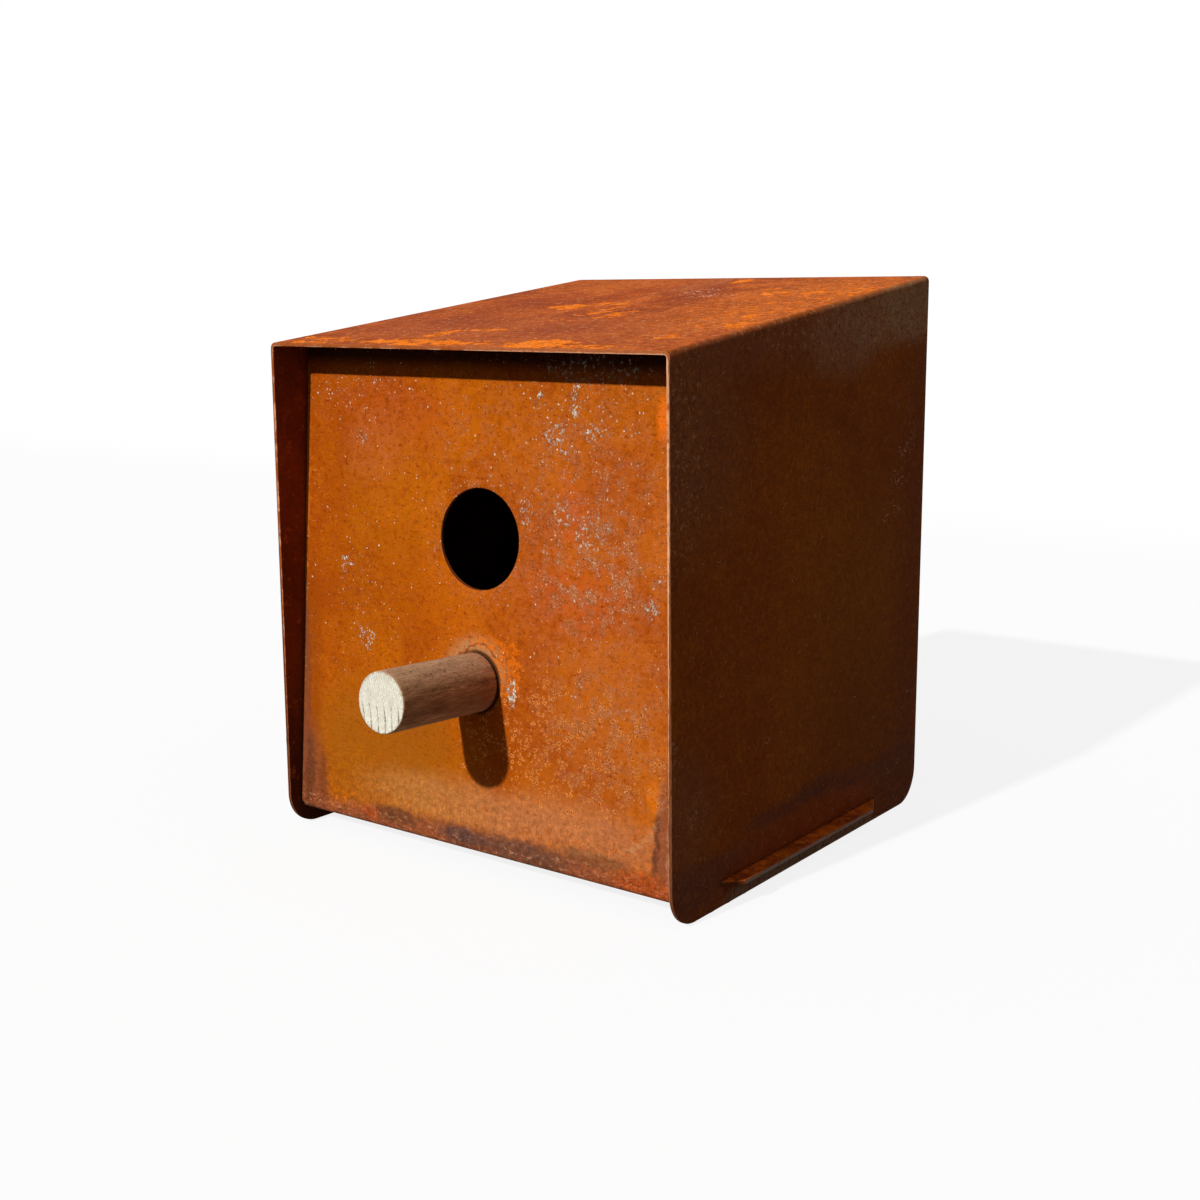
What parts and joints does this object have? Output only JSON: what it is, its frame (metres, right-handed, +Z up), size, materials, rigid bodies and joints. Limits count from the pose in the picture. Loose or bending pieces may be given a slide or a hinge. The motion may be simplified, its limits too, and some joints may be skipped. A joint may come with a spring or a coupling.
{
  "type": "wall birdhouse",
  "caption": "Wall birdhouse of weathering steel sheet: folded hood with a sloping roof over a folded tray with a round entrance, and a round wooden perch.",
  "frame": {"origin": "on the wall plane, at the middle of the four wall fixing holes", "axes": "+X to the right seen from the front, +Y into the wall, +Z up"},
  "size_m": [0.2128, 0.2444, 0.2405],
  "materials": {
    "weathered_steel": "rusted weathering steel, matt, mottled orange and brown",
    "weathered_timber": "untreated dowel, weathered grey brown with a pale sawn end",
    "zinc": "dull zinc plate"
  },
  "bodies": {
    "root": {"hood": "weathered_steel", "tray": "weathered_steel", "perch": "weathered_timber", "perch_screw": "zinc", "perch_washer": "zinc"}
  },
  "joints": []
}
